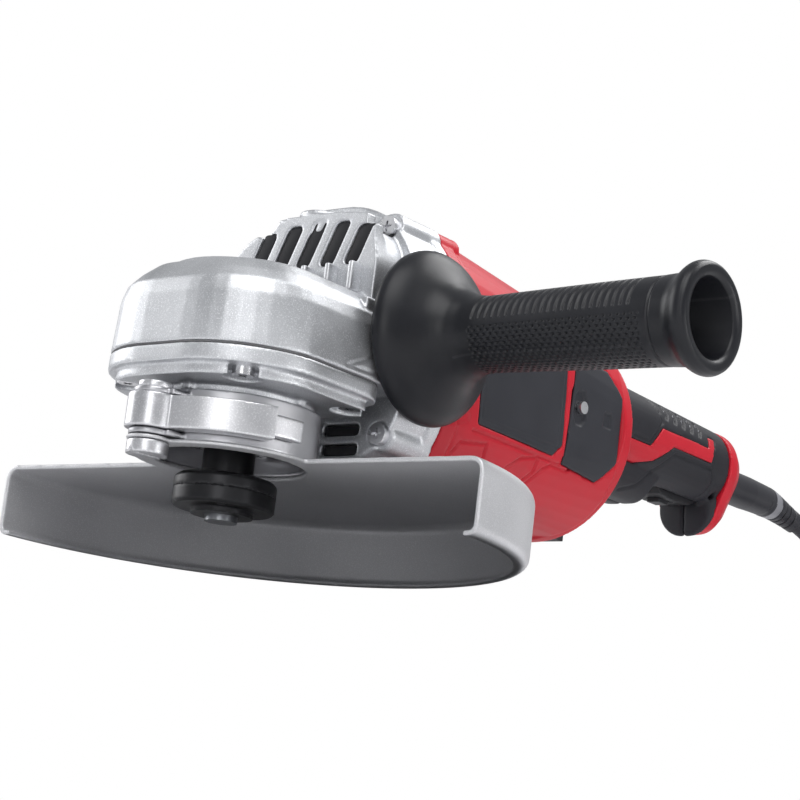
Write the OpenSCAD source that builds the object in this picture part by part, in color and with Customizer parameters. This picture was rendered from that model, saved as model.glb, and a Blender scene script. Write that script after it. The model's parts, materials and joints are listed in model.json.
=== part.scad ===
// Large angle grinder for 230 mm wheels: spindle along Z, motor along X, side handle along -Y.
// The origin is the centre of the spindle's free end.

/* [Overall] */
// Outside diameter of the wheel guard
guard_d = 254; // [240:1:300]
// Height of the axis that the rear handle swivels on
swivel_z = 98; // [96:0.5:99]
// Length of the gear housing behind the spindle
gear_len = 74; // [72:1:90]
// Length of the motor housing
motor_len = 141; // [136:1:180]
// Length of the rear handle with its end cap
handle_len = 147; // [140:1:180]
// Width of the motor housing at its front flange
body_w = 102; // [100:1:124]
// Height of the motor housing at its front flange
body_h = 117; // [115:1:130]

/* [Spindle] */
// Diameter of the spindle's thread
thread_d = 14; // [12:0.5:16]
// Length of thread that shows below the lock nut
thread_proud = 5; // [3:0.5:8]
// Thickness of the lock nut
nut_t = 7; // [5:0.5:10]
// Diameter of the lock nut and of the inner flange
flange_d = 42.5; // [36:0.5:52]
// Thickness of the inner flange
flange_t = 6; // [4:0.5:9]
// Diameter of the inner flange's hub
hub_d = 21.5; // [19:0.1:22]
// Diameter of the spindle in its lower bearing
journal_d = 17; // [15:0.5:18]
// Outside diameter of the lower spindle bearing
bearing_d = 40; // [35:0.5:44]
// Height of the lower spindle bearing
bearing_h = 12; // [10:0.5:12]
// Diameter of the spindle in its upper bush
top_journal_d = 10; // [8:0.5:12]

/* [Gears] */
// Diameter of the crown gear
crown_d = 71; // [60:1:71]
// Thickness of the crown gear
crown_h = 11.7; // [9:0.1:14]
// Teeth on the crown gear
crown_teeth = 41; // [30:1:45]
// Diameter of the pinion over its teeth
pinion_d = 20; // [17:0.5:22]
// Teeth on the pinion
pinion_teeth = 10; // [8:1:12]
// Clearance between running parts
run_gap = 0.3; // [0.2:0.05:0.5]

/* [Gear head] */
// Thickness of the bearing cover
cover_t = 12.5; // [10:0.5:14]
// Distance from the guard plate up to the bearing cover
cover_gap = 25; // [24:0.5:30]
// Radius of the bearing cover's neck, which carries the guard
neck_r = 32; // [31:0.25:34]
// Length of that neck
neck_len = 13; // [12:0.5:14]
// Distance from the spindle to the front of the gear head
head_front = 49; // [48:0.5:54]
// Half of the gear head's width
head_half = 51; // [50:0.5:56]
// Wall of the gear housing
cast_wall = 6; // [4:0.5:7]

/* [Wheel guard] */
// Depth of the guard below its plate
guard_depth = 29; // [27:0.5:45]
// Thickness of the guard's sheet
guard_t = 2; // [1.5:0.1:3]
// Distance that the guard's lip turns in
lip_w = 6.5; // [5:0.5:10]
// Gap from the inner flange up to the guard's plate
plate_gap = 6; // [4:0.5:8]
// Height of the clamp band on the guard
band_h = 21.5; // [19:0.5:23]
// Thickness of the clamp band
band_t = 3.8; // [3:0.1:5]
// Angle from the guard's middle to the clamp's pivot
pivot_angle = 175; // [170:1:180]
// Distance from the spindle to the clamp's pivot
pivot_r = 43.5; // [43:0.5:45]

/* [Side handle] */
// Distance behind the spindle of the side handle's axis
side_x = 55; // [53:0.5:60]
// Height of the side handle's axis above the spindle's tip
side_z = 89; // [86:0.5:92]
// Diameter of the side handle's hand guard
bell_d = 74.5; // [65:0.5:80]
// Distance from the spindle to the side handle's end
side_len = 192.5; // [160:0.5:230]
// Diameter of the side handle's end ring
side_end_d = 45.5; // [42:0.5:56]
// Diameter of the hollow in the side handle's end
side_bore_d = 32; // [26:0.5:33]

/* [Motor] */
// Diameter of the fan
fan_d = 84; // [70:1:88]
// Diameter of the stator core
stator_d = 84; // [78:0.5:86]
// Length of the stator core
stator_len = 56; // [50:1:60]
// Diameter of the armature core
armature_d = 52; // [44:0.5:56]
// Diameter of the commutator
commutator_d = 34; // [30:0.5:36]
// Wall of the plastic housings
wall = 3; // [2.5:0.1:4]

/* [Rear handle] */
// Width of the rear handle at its front
grip_w = 50; // [46:0.5:54]
// Height of the rear handle's barrel at its front
grip_h = 46; // [42:0.5:48]
// Radius of the swivel neck
swivel_r = 28; // [24:0.5:29]
// Length of the trigger
trigger_len = 40; // [34:1:44]
// Width of the trigger
trigger_w = 17; // [14:0.5:22]

/* [Cord] */
// Diameter of the mains cord
cord_d = 9; // [7:0.1:10]
// Diameter of the cord's strain relief where it leaves the handle
boot_d = 18.5; // [16:0.5:20]
// Length of the straight part of the strain relief outside the handle
boot_len = 46; // [40:1:60]

/* [Hidden] */
$fn = 64;

// Levels along the spindle
nut_z = thread_proud;
lead_h = nut_z - 2.7;
seat_z = nut_z + nut_t;
flange_top = seat_z + flange_t;
plate_z = flange_top + plate_gap;
plate_top = plate_z + guard_t;
cover_z = plate_top + cover_gap;
seam_z = cover_z + cover_t;
neck_z = cover_z - neck_len;
gasket_t = 0.5;

// Gear train, which sets the height of the motor axis
gear_z0 = seam_z + 3.5;
gear_z1 = gear_z0 + crown_h;
motor_z = gear_z1 + run_gap + pinion_d / 2;
gear_top = motor_z + pinion_d / 2 + 1.2;
cap_z = gear_top + 3.3;
dome_z = cap_z - 1.5;
shoulder_z = cap_z - 18;

// Stations along the motor axis
wall_x0 = crown_d / 2 + 2;
wall_x1 = wall_x0 + 13;
front_bearing_w = 11;
front_bearing_d = 35;
fan_x0 = gear_len - 6;
fan_w = 15;
stator_x0 = gear_len + 26;
motor_x1 = gear_len + motor_len;
ring_x0 = motor_x1 - 7;
rear_wall_x = motor_x1 - 6;
rear_bearing_x = motor_x1 - 24;
rear_bearing_w = 7;
rear_bearing_d = 22;
brush_screw_x = motor_x1 - 42;
commutator_x0 = stator_x0 + stator_len + 9;
commutator_w = 18;
brush_x = commutator_x0 + commutator_w / 2;
handle_x0 = motor_x1 + 0.4;
handle_x1 = motor_x1 + handle_len;
cap_x0 = handle_x1 - 15;

// Sections of the housings, as height of the middle
front_mid = motor_z + 3;
rear_mid = motor_z - 4;
rear_half = 49;
ring_r = 51;

// Fastener sizes
m5 = 2.5;
m5_head = 4.6;
m4 = 2;
m4_head = 3.7;
tap_fit = 0.05;
seat_gap = 0.2;

// Rim of the side handle, just clear of the gear head
bell_y = head_half + 1;

// Guard fits
guard_r = guard_d / 2;
guard_bend = 6;
band_fit = 0.1;
band_r0 = neck_r + band_fit;
band_r1 = band_r0 + band_t;
tab_r = band_r1 + 4.5;
pivot_shank = 4;
lever_z0 = plate_top + 2.8;
lever_z1 = lever_z0 + 14;
lever_boss_r = 10.5;
lever_r0 = band_r1 + 0.9;

// Rear handle levels
grip_mid = swivel_z + 4;
grip_low = grip_mid - grip_h / 2;
cap_h = 42;
cap_mid = grip_mid - 2;
trigger_x0 = motor_x1 + 86;
trigger_hinge_x = trigger_x0 + 5;
trigger_hinge_z = grip_low + 6;

// ---------------------------------------------------------------- shapes

// A rectangle with round corners, centred
module round_rect(w, h, r) {
    square([w - 2 * r, h], center = true);
    square([w, h - 2 * r], center = true);
    for (sx = [-1, 1], sy = [-1, 1])
        translate([sx * (w / 2 - r), sy * (h / 2 - r)]) circle(r);
}

// Extrudes an outline drawn as (Y, Z) along +X from x
module along_x(x, length) {
    translate([x, 0, 0]) rotate([90, 0, 90]) linear_extrude(length) children();
}

// A cylinder along +X
module rod_x(x, y, z, length, r) {
    translate([x, y, z]) rotate([0, 90, 0]) cylinder(h = length, r = r);
}

// A cylinder along -Y that starts at y
module rod_y(x, y, z, length, r) {
    translate([x, y, z]) rotate([90, 0, 0]) cylinder(h = length, r = r);
}

// A tube along +X
module tube_x(x, z, length, r_out, r_in) {
    difference() {
        rod_x(x, 0, z, length, r_out);
        rod_x(x - 1, 0, z, length + 2, r_in);
    }
}

// A tube along Z
module tube_z(z, length, r_out, r_in) {
    translate([0, 0, z]) difference() {
        cylinder(h = length, r = r_out);
        translate([0, 0, -1]) cylinder(h = length + 2, r = r_in);
    }
}

// A pan-head screw along -Z whose head's underside is at the origin
module pan_screw(shank_r, head_r, head_h, length) {
    cylinder(h = head_h, r = head_r);
    translate([0, 0, -length]) cylinder(h = length + 0.01, r = shank_r);
}

// Section of the housings' front, with rounder corners at the top
module body_section(inset) {
    w = body_w - 2 * inset;
    h = body_h - 2 * inset;
    intersection() {
        translate([0, front_mid]) round_rect(w, h, 45 - inset);
        translate([-w, front_mid]) square([2 * w, h]);
    }
    intersection() {
        translate([0, front_mid]) round_rect(w, h, 30 - inset);
        translate([-w, front_mid - h]) square([2 * w, h + 0.01]);
    }
}

// Plan of the gear head, drawn in from its edge by inset
module head_plan(inset, rear = 38) {
    r_front = 40 - inset;
    r_rear = 16 - inset;
    x_front = -(head_front - 40);
    y_front = head_half - 40;
    x_rear = rear - 16;
    y_rear = head_half - 16;
    for (s = [-1, 1]) {
        translate([x_front, s * y_front]) circle(r_front);
        translate([x_rear, s * y_rear]) circle(r_rear);
    }
    translate([x_front, -head_half + inset]) square([x_rear - x_front, 2 * (head_half - inset)]);
    translate([x_front - r_front, -y_front]) square([r_front + 10, 2 * y_front]);
    translate([0, -y_rear]) square([rear - inset, 2 * y_rear]);
}

// Places children at the four corner screws of the gear head
module at_head_corners() {
    for (p = [[-32, 34], [-32, -34], [26, 41], [26, -41]])
        translate([p[0] - (head_front - 49), p[1] + sign(p[1]) * (head_half - 53), 0]) children();
}

// Places children, turned to look along -X, at the four screws of the rear flange
module at_flange_corners(x) {
    for (s = [-1, 1]) {
        translate([x, s * 31, front_mid + body_h / 2 - 13]) rotate([0, -90, 0]) children();
        translate([x, s * 39, front_mid - body_h / 2 + 13]) rotate([0, -90, 0]) children();
    }
}

// ---------------------------------------------------------------- gear head

module vent_slots() {
    for (i = [-2 : 2])
        along_x(20, 30) translate([i * 13.5, 127 + abs(i) * -1]) round_rect(8, 21 - abs(i) * 2, 2.5);
    for (s = [-1, 1], z = [40.5, 49])
        along_x(38, 16) translate([s * 18, z]) round_rect(20, 5, 1.5);
}

module gear_housing_outside() {
    // round-nosed head with a domed top
    hull() {
        for (step = [[seam_z, 0], [shoulder_z, 1.2], [shoulder_z + 6, 3], [shoulder_z + 11, 7.5], [dome_z, 14]])
            translate([0, 0, step[0]]) linear_extrude(0.01, $fn = 40) head_plan(step[1], 44);
    }
    translate([0, 0, dome_z - 1]) cylinder(h = cap_z - dome_z + 1, r = 34);
    // neck between the head and the fan chamber
    translate([20, -head_half + 4, seam_z]) cube([gear_len - 24, 2 * head_half - 8, 35]);
    // vent box
    along_x(28, gear_len - 30) translate([0, 103]) round_rect(84, 74, 26);
    // fan chamber
    along_x(46, gear_len - 46) body_section(1.5);
    along_x(gear_len - 7, 7) body_section(0);
    // bosses of the flange screws
    at_flange_corners(gear_len) cylinder(h = 26, r = 7);
    // bosses of the side handle and of the handle on top
    for (s = [-1, 1]) translate([side_x, s * (bell_y - 2), side_z]) rotate([s * 90, 0, 0]) cylinder(h = 12, r = 14);
    translate([38, 0, 130]) cylinder(h = 13, r = 10);
}

module gear_housing() {
    color("silver") difference() {
        union() {
            difference() {
                gear_housing_outside();
                // gear chamber
                translate([0, 0, seam_z - 1]) linear_extrude(gear_top - seam_z - 8) intersection() {
                    head_plan(cast_wall);
                    translate([-80, -60]) square([80 + wall_x0, 120]);
                }
                translate([10, -26, seam_z - 1]) cube([wall_x0 - 10, 52, gear_top + 1 - seam_z]);
                // fan chamber
                rod_x(wall_x1, 0, motor_z, gear_len, 46);
                // passage from the fan to the upper vents
                along_x(34, wall_x1 - 32) translate([0, 124]) round_rect(70, 25, 8);
                vent_slots();
            }
            // side handle bosses inside the fan chamber
            for (s = [-1, 1]) translate([side_x, s * (bell_y - 4), side_z]) rotate([s * 90, 0, 0]) cylinder(h = 12, r = 11);
            // boss of the handle on top, below the roof of the vent passage
            translate([38, 0, 132]) cylinder(h = 10, r = 9.5);
            // seat of the spindle's upper bush
            translate([0, 0, motor_z - 2]) cylinder(h = dome_z - motor_z, r = top_journal_d / 2 + 4);
        }
        // bore of the pinion and seat of the front motor bearing
        rod_x(wall_x0 - 2, 0, motor_z, 20, 13);
        rod_x(wall_x1 - front_bearing_w, 0, motor_z, 20, front_bearing_d / 2 + 0.02);
        // bore of the upper bush
        translate([0, 0, motor_z - 3]) cylinder(h = 14, r = top_journal_d / 2 + 2.02);
        // spindle lock button's guide
        translate([0, 27, seam_z + 20]) cylinder(h = 40, r = 3.1);
        translate([0, 27, cap_z - 4]) cylinder(h = 10, r = 7.3);
        // threaded holes for the side handle on both sides and for a handle on top
        for (s = [-1, 1]) translate([side_x, s * (bell_y + 0.1), side_z]) rotate([s * 90, 0, 0]) cylinder(h = 15, r = thread_d / 2 + tap_fit);
        translate([38, 0, 129]) cylinder(h = 16, r = thread_d / 2 + tap_fit);
        // screw holes
        at_head_corners() translate([0, 0, seam_z - 1]) cylinder(h = 15, r = m5 + tap_fit);
        at_flange_corners(gear_len + 1) cylinder(h = 40, r = m5 + tap_fit);
        at_flange_corners(gear_len - 26) cylinder(h = 40, r = m5_head + 0.4);
    }
}

module bearing_cover() {
    color("gainsboro") difference() {
        union() {
            translate([0, 0, cover_z + 5]) linear_extrude(cover_t - 5 - gasket_t) head_plan(0);
            translate([0, 0, cover_z]) linear_extrude(6) head_plan(3);
            translate([0, 0, neck_z]) cylinder(h = neck_len + 1, r = neck_r);
            // keys that hold the guard up
            for (a = [5, 95, 185, 275]) rotate([0, 0, a])
                translate([neck_r - 1, -2.6, plate_top + band_h + 0.4]) cube([3.2, 5.2, cover_z - plate_top - band_h]);
        }
        translate([0, 0, neck_z - 1]) cylinder(h = bearing_h + 1, r = bearing_d / 2 + 0.02);
        translate([0, 0, neck_z]) cylinder(h = 60, r = 14);
        at_head_corners() translate([0, 0, cover_z - 1]) cylinder(h = 30, r = m5 + 0.3);
        // recesses of the screw heads
        at_head_corners() translate([0, 0, cover_z - 1]) cylinder(h = 5.5, r = 8);
        for (a = [15, 75, 195, 255]) rotate([0, 0, a]) translate([26, 0, neck_z - 1])
            cylinder(h = 9, r = m4 + tap_fit);
    }
}

module cover_gasket() {
    color("dimgray") translate([0, 0, seam_z - gasket_t]) linear_extrude(gasket_t) difference() {
        head_plan(0.4);
        intersection() {
            head_plan(cast_wall);
            translate([-80, -60]) square([80 + wall_x0 - 4, 120]);
        }
        at_head_corners() circle(m5 + 0.3);
    }
}

module cover_screws() {
    color("silver") at_head_corners() translate([0, 0, cover_z + 4.5]) rotate([180, 0, 0]) difference() {
        pan_screw(m5, m5_head, 3.4, cover_t + 5);
        for (a = [0, 90]) rotate([0, 0, a]) translate([-2.4, -0.5, 1.6]) cube([4.8, 1, 3]);
    }
}

module housing_screws() {
    color("silver") at_flange_corners(gear_len - 26) difference() {
        pan_screw(m5, m5_head, 3.4, 36);
        for (a = [0, 90]) rotate([0, 0, a]) translate([-2.4, -0.5, 1.6]) cube([4.8, 1, 3]);
    }
}

module bearing_retainer() {
    color("gray") difference() {
        tube_z(neck_z - 2.5, 2.5, neck_r - 2.5, hub_d / 2 + 0.8);
        for (a = [15, 75, 195, 255]) rotate([0, 0, a]) translate([26, 0, neck_z - 4]) cylinder(h = 6, r = m4 + 0.2);
    }
}

module retainer_screws() {
    color("silver") for (a = [15, 75, 195, 255]) rotate([0, 0, a]) translate([26, 0, neck_z - 2.5])
        rotate([180, 0, 0]) difference() {
            pan_screw(m4, m4_head - 0.4, 2.2, 9);
            for (b = [0, 90]) rotate([0, 0, b]) translate([-1.8, -0.4, 1]) cube([3.6, 0.8, 3]);
        }
}

// A ball bearing's rings and shield along Z
module ball_bearing(z, r_out, r_in, h) {
    difference() {
        tube_z(z, h, r_out, r_in);
        for (s = [0, 1]) tube_z(z + s * (h - 0.6) - 0.01, 0.62, r_out - (r_out - r_in) * 0.25, r_in + (r_out - r_in) * 0.25);
    }
}

module lower_spindle_bearing() {
    color("lightgray") ball_bearing(neck_z, bearing_d / 2, journal_d / 2 + 0.02, bearing_h);
}

module upper_spindle_bush() {
    color("peru") tube_z(motor_z - 2, 12, top_journal_d / 2 + 2, top_journal_d / 2 + 0.05);
}

// ---------------------------------------------------------------- spindle

module spindle() {
    color("dimgray") {
        // lead-in of the thread at the free end
        cylinder(h = lead_h, r = thread_d / 2 - 0.3);
        translate([0, 0, lead_h - 0.01]) cylinder(h = neck_z - lead_h + 0.01, r = thread_d / 2);
        translate([0, 0, neck_z - 0.3]) cylinder(h = bearing_h + 0.3, r = journal_d / 2);
        translate([0, 0, neck_z + bearing_h + 0.2]) cylinder(h = gear_z0 - neck_z - bearing_h - 0.2, r = 11.5);
        translate([0, 0, gear_z0]) cylinder(h = gear_z1 - gear_z0, r = 9);
        translate([0, 0, gear_z1 - 0.01]) cylinder(h = motor_z + 9 - gear_z1, r = top_journal_d / 2);
        translate([0, 0, neck_z + bearing_h - 0.01]) cylinder(h = 0.3, r = journal_d / 2);
    }
}

module crown_gear() {
    color("slategray") difference() {
        tube_z(gear_z0, gear_z1 - gear_z0, crown_d / 2, 9.02);
        for (i = [0 : crown_teeth - 1]) rotate([0, 0, i * 360 / crown_teeth])
            translate([crown_d / 2 - 12, -0.9, gear_z1 - 3.2]) cube([14, 1.8, 5]);
        for (i = [0 : 7]) rotate([0, 0, 90 + i * 45]) translate([18, 0, gear_z0 - 1]) cylinder(h = 20, r = 3.4);
    }
}

module inner_flange() {
    color("#1c1c20") difference() {
        union() {
            translate([0, 0, seat_z]) cylinder(h = flange_t - 1.5, r = flange_d / 2);
            translate([0, 0, flange_top - 1.5]) cylinder(h = 1.5, r1 = flange_d / 2, r2 = flange_d / 2 - 1.5);
            translate([0, 0, flange_top]) cylinder(h = neck_z - 0.4 - flange_top, r = hub_d / 2);
        }
        cylinder(h = 60, r = thread_d / 2 + tap_fit);
    }
}

module lock_nut() {
    color("#1c1c20") difference() {
        union() {
            translate([0, 0, nut_z + 1]) cylinder(h = nut_t - 1, r = flange_d / 2);
            translate([0, 0, nut_z]) cylinder(h = 1, r1 = flange_d / 2 - 1, r2 = flange_d / 2);
            translate([0, 0, nut_z - 2.5]) cylinder(h = 3, r = 13);
        }
        translate([0, 0, -5]) cylinder(h = 40, r = thread_d / 2 + tap_fit);
        // holes for the pin spanner
        for (a = [40, 220]) rotate([0, 0, a]) translate([17, 0, nut_z - 1]) cylinder(h = 5, r = 2.5);
    }
}

// ---------------------------------------------------------------- guard

module guard_profile() {
    // drawn as (radius, Z), from the plate's edge down the wall and in along the lip
    r1 = guard_r;
    bend = guard_bend;
    a_out = [for (a = [90 : -15 : 0]) [r1 - bend + bend * cos(a), plate_top - bend + bend * sin(a)]];
    a_in = [for (a = [0 : 15 : 90]) [r1 - bend + (bend - guard_t) * cos(a), plate_top - bend + (bend - guard_t) * sin(a)]];
    low = plate_z - guard_depth;
    lip_out = [for (a = [0 : -15 : -90]) [r1 - 4 + 4 * cos(a), low + 4 + 4 * sin(a)]];
    lip_in = [for (a = [-90 : 15 : 0]) [r1 - 4 + 2 * cos(a), low + 4 + 2 * sin(a)]];
    polygon(concat([[neck_r - 8, plate_top]], a_out, lip_out, [[r1 - lip_w, low], [r1 - lip_w, low + guard_t]], lip_in, a_in, [[neck_r - 8, plate_z]]));
}

module guard_shell() {
    color("silver") difference() {
        union() {
            rotate([0, 0, -87]) rotate_extrude(angle = 180, $fn = 180) guard_profile();
            // tab round the neck, rolled a little thinner than the plate
            translate([0, 0, plate_z + 0.2]) linear_extrude(guard_t - 0.4) {
                circle(tab_r);
                rotate(pivot_angle) translate([pivot_r, 0]) circle(9);
            }
        }
        translate([0, 0, plate_z - 1]) cylinder(h = 5, r = band_r0);
        rotate([0, 0, pivot_angle]) translate([pivot_r, 0, plate_z - 1]) cylinder(h = 5, r = pivot_shank + tap_fit);
    }
}

module guard_band() {
    color("gray") {
        difference() {
            union() {
                tube_z(plate_top, band_h, band_r1, band_r0);
                // ears that carry the clamp's pivot
                for (z = [plate_top + 0.3, lever_z1 + 0.3]) rotate([0, 0, pivot_angle]) translate([0, 0, z]) linear_extrude(2.4) {
                    translate([band_r0 + 0.5, -11]) square([pivot_r - band_r0 - 0.5, 22]);
                    translate([pivot_r, 0]) circle(8.5);
                    translate([pivot_r - 4, -11]) square([4, 22]);
                }
            }
            translate([0, 0, plate_z]) cylinder(h = 60, r = band_r0);
            // gap between the band's ends, which the lever draws together
            rotate([0, 0, pivot_angle]) translate([pivot_r, 0, lever_z0 - 0.3])
                cylinder(h = lever_z1 - lever_z0 + 0.6, r = lever_boss_r + 0.3);
            rotate([0, 0, pivot_angle]) translate([pivot_r, 0, plate_z]) cylinder(h = 60, r = pivot_shank + tap_fit);
        }
    }
}

module lever_pivot() {
    rotate([0, 0, pivot_angle]) translate([pivot_r, 0, 0]) color("lightgray") {
        difference() {
            translate([0, 0, plate_z - 5.5]) cylinder(h = 5.4, r = 8.5);
            translate([-10, -0.9, plate_z - 6.5]) cube([20, 1.8, 2.4]);
        }
        translate([0, 0, plate_z - 0.2]) cylinder(h = lever_z1 - plate_z + 5, r = pivot_shank);
        translate([0, 0, lever_z1 + 2.7]) cylinder(h = 2.6, r = 7);
    }
}

module clamp_lever() {
    h = lever_z1 - lever_z0;
    color("whitesmoke") difference() {
        union() {
            translate([0, 0, lever_z0 + 0.3]) rotate([0, 0, pivot_angle]) rotate_extrude(angle = 71)
                translate([lever_r0, 0]) square([8.2, h - 0.6]);
            rotate([0, 0, pivot_angle]) translate([pivot_r, 0, lever_z0]) cylinder(h = h, r = lever_boss_r);
            // thumb tab
            translate([0, 0, lever_z0 + 2.5]) rotate([0, 0, pivot_angle + 70]) rotate_extrude(angle = 23)
                translate([lever_r0 + 0.3, 0]) square([3.4, h - 5]);
        }
        rotate([0, 0, pivot_angle]) translate([pivot_r, 0, lever_z0 - 1]) cylinder(h = h + 2, r = pivot_shank + 0.1);
    }
}

// ---------------------------------------------------------------- spindle lock

module spindle_lock_button() {
    color("#202024") translate([0, 27, 0]) {
        translate([0, 0, cap_z + 0.8]) cylinder(h = 4.4, r = 7);
        translate([0, 0, cap_z - 8.4]) cylinder(h = 10, r = 2.9);
    }
}

module spindle_lock_spring() {
    color("silver") translate([0, 27, 0]) tube_z(cap_z - 3.9, 4.5, 5, 4);
}

// ---------------------------------------------------------------- side handle

module side_handle_grip() {
    rim = bell_d / 2;
    grip_r0 = 15.8;
    grip_r1 = 18;
    y0 = bell_y;
    flare = [[rim, 0], [rim + 0.2, 2], [rim - 0.6, 5], [rim - 4, 9], [rim - 9, 12.5], [rim - 14, 16.5],
        [rim - 18, 21.5], [rim - 20.5, 28], [grip_r0, 38]];
    color("#1c1d22") translate([side_x, -y0, side_z]) rotate([90, 0, 0]) difference() {
        rotate_extrude($fn = 96) polygon(concat([[0, 6.5]], [[14, 6.5], [18, 3.5], [rim - 3, 0]], flare, [
            [grip_r1, side_len - y0 - 20], [grip_r1 + 0.4, side_len - y0 - 11], [side_end_d / 2 - 1, side_len - y0 - 7],
            [side_end_d / 2, side_len - y0 - 5], [side_end_d / 2, side_len - y0 - 2],
            [side_end_d / 2 - 2, side_len - y0], [0, side_len - y0]]));
        translate([0, 0, side_len - y0 - 45]) cylinder(h = 60, r = side_bore_d / 2);
        translate([0, 0, -1]) cylinder(h = 40, r = thread_d / 2);
    }
}

module side_handle_stud() {
    color("silver") {
        rod_y(side_x, -bell_y + 12, side_z, 12 + 6, thread_d / 2);
        rod_y(side_x, -bell_y - 2, side_z, 36, thread_d / 2);
    }
}

// ---------------------------------------------------------------- motor

module armature_shaft() {
    color("lightgray") {
        rod_x(wall_x0 - 19, 0, motor_z, 20, 5);
        rod_x(wall_x1 - front_bearing_w - 1, 0, motor_z, front_bearing_w + 6, 7.5);
        rod_x(wall_x1 + 4.9, 0, motor_z, rear_bearing_x - wall_x1 - 5, 6);
        rod_x(rear_bearing_x - 0.2, 0, motor_z, rear_bearing_w + 1, 4);
    }
}

module pinion() {
    color("slategray") difference() {
        union() {
            translate([wall_x0 - 17, 0, motor_z]) rotate([0, 90, 0]) linear_extrude(15) {
                circle(pinion_d / 2 - 2.6);
                for (i = [0 : pinion_teeth - 1]) rotate(i * 360 / pinion_teeth)
                    polygon([[0, -2.2], [pinion_d / 2 - 2.6, -2], [pinion_d / 2 - 0.1, -0.9],
                             [pinion_d / 2 - 0.1, 0.9], [pinion_d / 2 - 2.6, 2], [0, 2.2]]);
            }
            rod_x(wall_x0 - 19, 0, motor_z, 2.1, 7);
        }
        rod_x(wall_x0 - 25, 0, motor_z, 40, 5.02);
    }
}

module front_motor_bearing() {
    color("lightgray") translate([wall_x1 - front_bearing_w, 0, motor_z]) rotate([0, 90, 0])
        ball_bearing(0, front_bearing_d / 2, 7.52, front_bearing_w);
}

module rear_motor_bearing() {
    color("lightgray") translate([rear_bearing_x, 0, motor_z]) rotate([0, 90, 0])
        ball_bearing(0, rear_bearing_d / 2, 4.02, rear_bearing_w);
}

module fan() {
    color("#303438") {
        tube_x(fan_x0, motor_z, fan_w, 12, 6.02);
        tube_x(fan_x0, motor_z, 2, fan_d / 2, 11.9);
        for (i = [0 : 12]) translate([fan_x0 + 1.9, 0, motor_z]) rotate([i * 360 / 13, 0, 0])
            translate([0, -0.9, 11.5]) cube([fan_w - 2, 1.8, fan_d / 2 - 12]);
    }
}

module armature_core() {
    color("gray") difference() {
        tube_x(stator_x0 + 2, motor_z, stator_len - 4, armature_d / 2, 6.02);
        for (i = [0 : 11]) translate([stator_x0 + 1, 0, motor_z]) rotate([i * 30, 0, 0])
            translate([0, -1.6, armature_d / 2 - 7]) cube([stator_len, 3.2, 9]);
    }
}

module armature_windings() {
    color("#b5651d") {
        for (x = [stator_x0 - 8.2, stator_x0 + stator_len - 2]) tube_x(x, motor_z, 10, armature_d / 2 - 3, 6.02);
        for (i = [0 : 11]) translate([stator_x0 + 1.5, 0, motor_z]) rotate([i * 30, 0, 0])
            translate([0, -1.4, armature_d / 2 - 6.6]) cube([stator_len - 3, 2.8, 4.6]);
    }
}

module commutator() {
    color("#c87533") difference() {
        tube_x(commutator_x0 + 0.2, motor_z, commutator_w, commutator_d / 2, 6.02);
        for (i = [0 : 23]) translate([commutator_x0 + 3, 0, motor_z]) rotate([i * 15, 0, 0])
            translate([0, -0.25, commutator_d / 2 - 1]) cube([commutator_w, 0.5, 3]);
    }
}

module stator_core() {
    color("gray") difference() {
        rod_x(stator_x0, 0, motor_z, stator_len, stator_d / 2);
        rod_x(stator_x0 - 1, 0, motor_z, stator_len + 2, armature_d / 2 + 0.8);
        for (s = [-1, 1]) translate([stator_x0 - 1, 0, motor_z + s * 30]) translate([0, -18, -6]) cube([stator_len + 2, 36, 12]);
    }
}

module stator_windings() {
    color("#b5651d") for (s = [-1, 1]) translate([0, 0, motor_z + s * 31.5]) difference() {
        translate([stator_x0 - 9, -17.5, -4.2]) cube([stator_len + 16, 35, 8.4]);
        translate([stator_x0 - 2, -9, -6]) cube([stator_len + 2, 18, 12]);
    }
}

module air_baffle() {
    color("#26282c") difference() {
        along_x(gear_len + 13, 2.5) body_section(wall + 2.2);
        rod_x(gear_len + 10, 0, motor_z, 8, 30);
    }
}

module brush_holders() {
    color("#c9a227") for (s = [-1, 1]) translate([brush_x - 6, s * 31 - 11, motor_z - 4.5]) difference() {
        cube([12, 22, 9]);
        translate([2, -1, 1.5]) cube([8, 24, 6]);
    }
}

module carbon_brushes() {
    color("#2a2a2a") for (s = [-1, 1]) translate([brush_x - 3.9, s * (commutator_d / 2 + 9.2) - 9, motor_z - 2.9]) cube([7.8, 18, 5.8]);
}

module brush_springs() {
    color("silver") for (s = [-1, 1]) rod_y(brush_x, s * 38.3 + 3, motor_z, 6, 2.6);
}

// ---------------------------------------------------------------- motor housing

// Outer form of the motor housing, drawn in by inset
module motor_form(inset) {
    hull() {
        along_x(gear_len + 8, 0.1) body_section(inset + 0.8, $fn = 40);
        along_x(ring_x0, 0.1) translate([0, rear_mid])
            round_rect(2 * (rear_half - inset), 2 * (rear_half - inset) + 1, 38 - inset, $fn = 40);
    }
}

// Blocks that mark the label panels on both sides
module label_blocks(side, grow) {
    along_y_plate(side) translate([0, 0]) polygon([
        [gear_len + 25 - grow, 63 - grow], [gear_len + 83 + grow, 62 - grow],
        [gear_len + 89 + grow, 68 - grow], [gear_len + 87 + grow, 110 + grow], [gear_len + 23 - grow, 110 + grow]]);
}

// Blocks that mark the brush covers on both sides
module brush_blocks(side, grow) {
    along_y_plate(side) polygon([
        [motor_x1 - 50 - grow, 60 - grow], [motor_x1 - 20, 58 - grow], [motor_x1 - 8 + grow, 69],
        [motor_x1 - 8 + grow, 101], [motor_x1 - 20, 111 + grow], [motor_x1 - 47 - grow, 111 + grow]]);
}

// Extrudes an outline drawn as (X, Z) through one side of the housing
module along_y_plate(side) {
    translate([0, side > 0 ? 70 : -30, 0]) rotate([90, 0, 0]) linear_extrude(40) children();
}

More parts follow.
